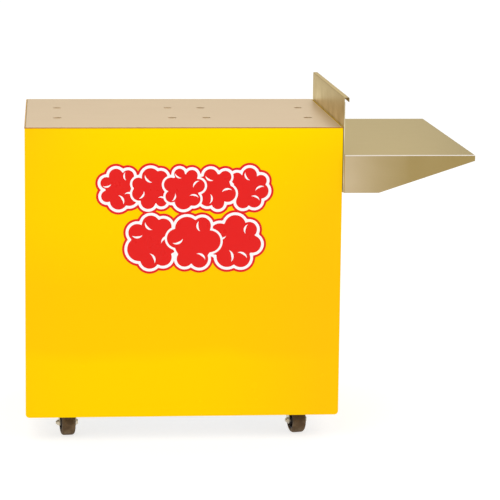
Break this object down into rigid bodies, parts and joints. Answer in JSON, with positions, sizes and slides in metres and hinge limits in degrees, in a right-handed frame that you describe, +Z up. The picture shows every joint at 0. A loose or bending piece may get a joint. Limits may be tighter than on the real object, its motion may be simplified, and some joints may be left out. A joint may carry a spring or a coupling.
{
  "type": "rolling base cabinet",
  "caption": "Rolling base cabinet with stainless counter, splash plate, folded side shelf and rear doors, for standing a corn cooker on.",
  "frame": {"origin": "on the floor under the middle of the whole cart, shelf included", "axes": "+Z up; the front panel faces -Y; the side shelf is towards +X"},
  "size_m": [1.3004, 0.851, 1.013],
  "materials": {
    "painted_yellow": "gloss",
    "stainless": "brushed",
    "galvanised": "satin",
    "zinc": "satin",
    "chrome": "polished",
    "wheel_rubber": "matt",
    "wheel_hub": "matt",
    "vinyl": "gloss",
    "white_plastic": "matt"
  },
  "bodies": {
    "cart": {"front_panel": "painted_yellow", "left_side_panel": "painted_yellow", "right_side_panel": "painted_yellow", "back_top_rail": "painted_yellow", "back_bottom_rail": "painted_yellow", "counter_top": "stainless", "foot_cups": "stainless", "splash_plate": "stainless", "side_shelf": "stainless", "shelf_doubler": "stainless", "shelf_stiffener": "stainless", "counter_stiffeners": "galvanised", "bottom_deck": "galvanised", "base_channels": "galvanised", "inner_shelf": "galvanised", "shelf_ledges": "galvanised", "splash_screws": "zinc", "splash_nuts": "zinc", "shelf_bolts": "zinc", "shelf_nuts": "zinc", "hinge_frame_leaves": "zinc", "hinge_frame_screws": "zinc", "hinge_pins": "zinc", "caster_plates": "zinc", "caster_kingpins": "zinc", "caster_bolts": "zinc", "caster_nuts": "zinc", "front_decal": "vinyl", "splash_spacers": "white_plastic", "door_catches": "white_plastic"},
    "left_door": {"left_door": "painted_yellow", "left_door_liner": "galvanised", "left_door_handle": "chrome", "left_handle_screws": "zinc", "left_strike": "zinc", "left_door_hinge_leaves": "zinc", "left_hinge_screws": "zinc"},
    "right_door": {"right_door": "painted_yellow", "right_door_liner": "galvanised", "right_door_handle": "chrome", "right_handle_screws": "zinc", "right_strike": "zinc", "right_door_hinge_leaves": "zinc", "right_hinge_screws": "zinc"},
    "front_left_swivel": {"front_left_fork": "zinc", "front_left_axle": "zinc"},
    "front_left_wheel": {"front_left_hub": "wheel_hub", "front_left_tyre": "wheel_rubber"},
    "front_right_swivel": {"front_right_fork": "zinc", "front_right_axle": "zinc"},
    "front_right_wheel": {"front_right_hub": "wheel_hub", "front_right_tyre": "wheel_rubber"},
    "rear_left_swivel": {"rear_left_fork": "zinc", "rear_left_axle": "zinc"},
    "rear_left_wheel": {"rear_left_hub": "wheel_hub", "rear_left_tyre": "wheel_rubber"},
    "rear_right_swivel": {"rear_right_fork": "zinc", "rear_right_axle": "zinc"},
    "rear_right_wheel": {"rear_right_hub": "wheel_hub", "rear_right_tyre": "wheel_rubber"}
  },
  "joints": [
    {"name": "left_door_hinge", "type": "hinge", "parent": "cart", "child": "left_door", "pos_m": [-0.6037, 0.2975, 0.5], "axis": [0, 0, 1], "range_deg": [0, 110]},
    {"name": "right_door_hinge", "type": "hinge", "parent": "cart", "child": "right_door", "pos_m": [0.2177, 0.2975, 0.5], "axis": [0, 0, -1], "range_deg": [0, 110]},
    {"name": "front_left_swivel_turn", "type": "hinge", "parent": "cart", "child": "front_left_swivel", "pos_m": [-0.5322, -0.2995, 0.09], "axis": [0, 0, 1], "continuous": true},
    {"name": "front_left_wheel_spin", "type": "hinge", "parent": "front_left_swivel", "child": "front_left_wheel", "pos_m": [-0.5283, -0.32723, 0.0381], "axis": [-0.9903, -0.1392, 0], "continuous": true},
    {"name": "front_right_swivel_turn", "type": "hinge", "parent": "cart", "child": "front_right_swivel", "pos_m": [0.1462, -0.2995, 0.09], "axis": [0, 0, 1], "continuous": true},
    {"name": "front_right_wheel_spin", "type": "hinge", "parent": "front_right_swivel", "child": "front_right_wheel", "pos_m": [0.15202, -0.32689, 0.0381], "axis": [-0.9781, -0.2079, 0], "continuous": true},
    {"name": "rear_left_swivel_turn", "type": "hinge", "parent": "cart", "child": "rear_left_swivel", "pos_m": [-0.5322, 0.1755, 0.09], "axis": [0, 0, 1], "continuous": true},
    {"name": "rear_left_wheel_spin", "type": "hinge", "parent": "rear_left_swivel", "child": "rear_left_wheel", "pos_m": [-0.53897, 0.20267, 0.0381], "axis": [0.9703, 0.2419, 0], "continuous": true},
    {"name": "rear_right_swivel_turn", "type": "hinge", "parent": "cart", "child": "rear_right_swivel", "pos_m": [0.1462, 0.1755, 0.09], "axis": [0, 0, 1], "continuous": true},
    {"name": "rear_right_wheel_spin", "type": "hinge", "parent": "rear_right_swivel", "child": "rear_right_wheel", "pos_m": [0.15106, 0.20307, 0.0381], "axis": [0.9848, -0.1736, 0], "continuous": true}
  ]
}
